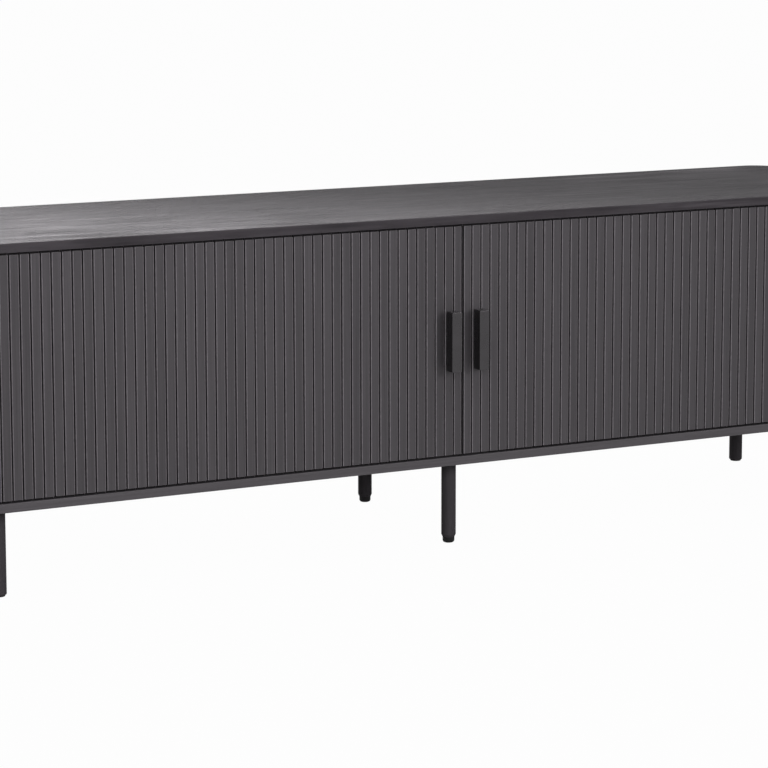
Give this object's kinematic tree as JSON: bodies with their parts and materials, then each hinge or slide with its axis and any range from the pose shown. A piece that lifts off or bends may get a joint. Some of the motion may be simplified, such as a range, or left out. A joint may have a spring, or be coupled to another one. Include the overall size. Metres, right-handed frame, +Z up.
{
  "type": "sideboard",
  "caption": "Low black-stained sideboard with two sliding tambour doors that wrap round its corners, bar handles, shelves inside and slim round legs.",
  "frame": {"origin": "middle of the whole object's footprint, on the floor, handles counted in", "axes": "+X to the right along the width, +Y from the doors to the back, +Z up"},
  "size_m": [1.8, 0.482, 0.57],
  "materials": {
    "stain_top": "black-stained ash veneer with a satin lacquer, grain along the width",
    "stain": "black-stained ash, satin",
    "stain_side": "bent ply with black-stained ash veneer, satin",
    "back": "black-painted fibreboard",
    "interior": "matt black foil on board",
    "canvas": "plain-woven black canvas",
    "handle_metal": "satin black powder coat",
    "leg_wood": "turned solid wood, black stain",
    "black_plastic": "moulded, fine texture",
    "black_screws": "black oxide",
    "zinc": "zinc plated",
    "beech": "raw fluted beech"
  },
  "bodies": {
    "carcass": {"top_board": "stain_top", "bottom_board": "stain", "side_shell_left": "stain_side", "side_shell_right": "stain_side", "inner_side_left": "interior", "inner_side_right": "interior", "divider": "interior", "shelf_left": "interior", "shelf_right": "interior", "inner_back": "interior", "back_panel": "back", "front_slats_left": "stain", "front_slats_right": "stain", "corner_slats_left": "stain", "corner_slats_right": "stain", "canvas_left": "canvas", "canvas_right": "canvas", "leg_front_left": "leg_wood", "leg_front_centre": "leg_wood", "leg_front_right": "leg_wood", "leg_back_left": "leg_wood", "leg_back_centre": "leg_wood", "leg_back_right": "leg_wood", "foot_inserts": "zinc", "leg_glides": "black_plastic", "leg_bolts": "zinc", "leg_inserts": "zinc", "shelf_pins": "zinc", "carcass_dowels": "beech", "shell_dowels": "beech", "cam_discs": "zinc", "cam_bolts": "zinc", "panel_screws": "black_screws", "groove_stops": "black_plastic"},
    "door_left": {"lead_stile_left": "stain", "handle_left": "handle_metal", "handle_screws_left": "zinc"},
    "door_right": {"lead_stile_right": "stain", "handle_right": "handle_metal", "handle_screws_right": "zinc"},
    "levelling_foot_front": {"foot_front": "black_plastic"},
    "levelling_foot_back": {"foot_back": "black_plastic"}
  },
  "joints": [
    {"name": "door_left_slide", "type": "slide", "parent": "carcass", "child": "door_left", "axis": [-1, 0, 0], "range_m": [0, 0.76], "deforming": ["front_slats_left", "canvas_left"]},
    {"name": "door_right_slide", "type": "slide", "parent": "carcass", "child": "door_right", "axis": [1, 0, 0], "range_m": [0, 0.76], "deforming": ["front_slats_right", "canvas_right"]},
    {"name": "foot_front_screw", "type": "slide", "parent": "carcass", "child": "levelling_foot_front", "axis": [0, 0, -1], "range_m": [0, 0.012]},
    {"name": "foot_back_screw", "type": "slide", "parent": "carcass", "child": "levelling_foot_back", "axis": [0, 0, -1], "range_m": [0, 0.012]}
  ]
}
